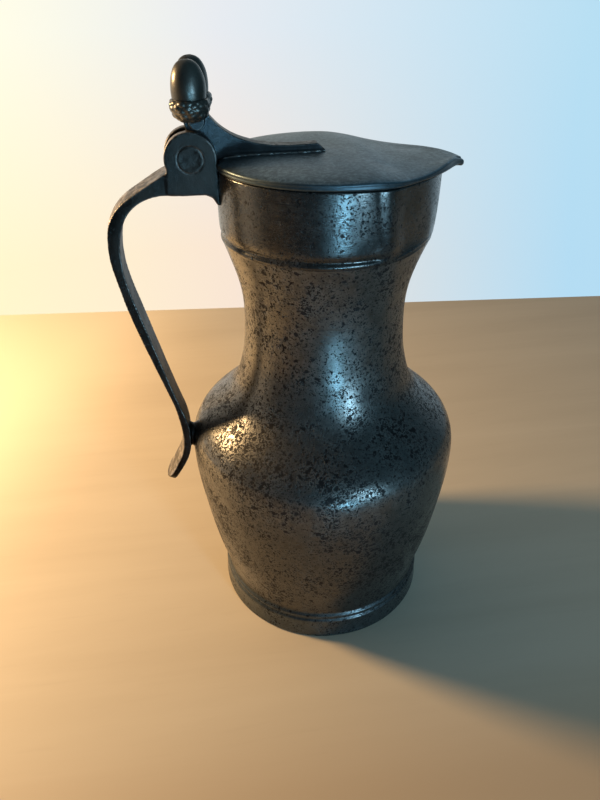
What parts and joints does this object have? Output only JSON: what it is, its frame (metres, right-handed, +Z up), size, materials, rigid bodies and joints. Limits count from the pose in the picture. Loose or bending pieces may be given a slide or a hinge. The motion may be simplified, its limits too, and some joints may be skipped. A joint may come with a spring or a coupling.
{
  "type": "lidded pitcher",
  "caption": "Pewter pitcher with shouldered belly, waisted neck, pinched spout, strap handle and a hinged heart-shaped lid with twin acorn thumbpiece.",
  "frame": {"origin": "centre of the foot ring's standing face", "axes": "+Z up, +X towards the spout, -X towards the handle, +Y along the hinge axis to the far side"},
  "size_m": [0.1634, 0.1376, 0.281],
  "materials": {
    "pewter_body": "semi-gloss grey pewter with dark corrosion specks",
    "pewter_lid": "satin grey pewter",
    "pewter_dark": "dark patinated cast pewter",
    "pin_steel": "drawn wire"
  },
  "bodies": {
    "pot": {"foot_ring": "pewter_body", "base_disc": "pewter_body", "belly": "pewter_body", "neck": "pewter_body", "collar": "pewter_body", "spout": "pewter_body", "handle": "pewter_dark", "handle_strut": "pewter_dark", "hinge_pin": "pin_steel", "pin_plug_near": "pewter_dark", "pin_plug_far": "pewter_dark"},
    "lid": {"lid_plate": "pewter_lid", "lid_lever": "pewter_dark", "acorn_near": "pewter_dark", "acorn_far": "pewter_dark"}
  },
  "joints": [
    {"name": "lid_hinge", "type": "hinge", "parent": "pot", "child": "lid", "pos_m": [-0.0565, 0, 0.24485], "axis": [0, -1, 0], "range_deg": [0, 92]}
  ]
}
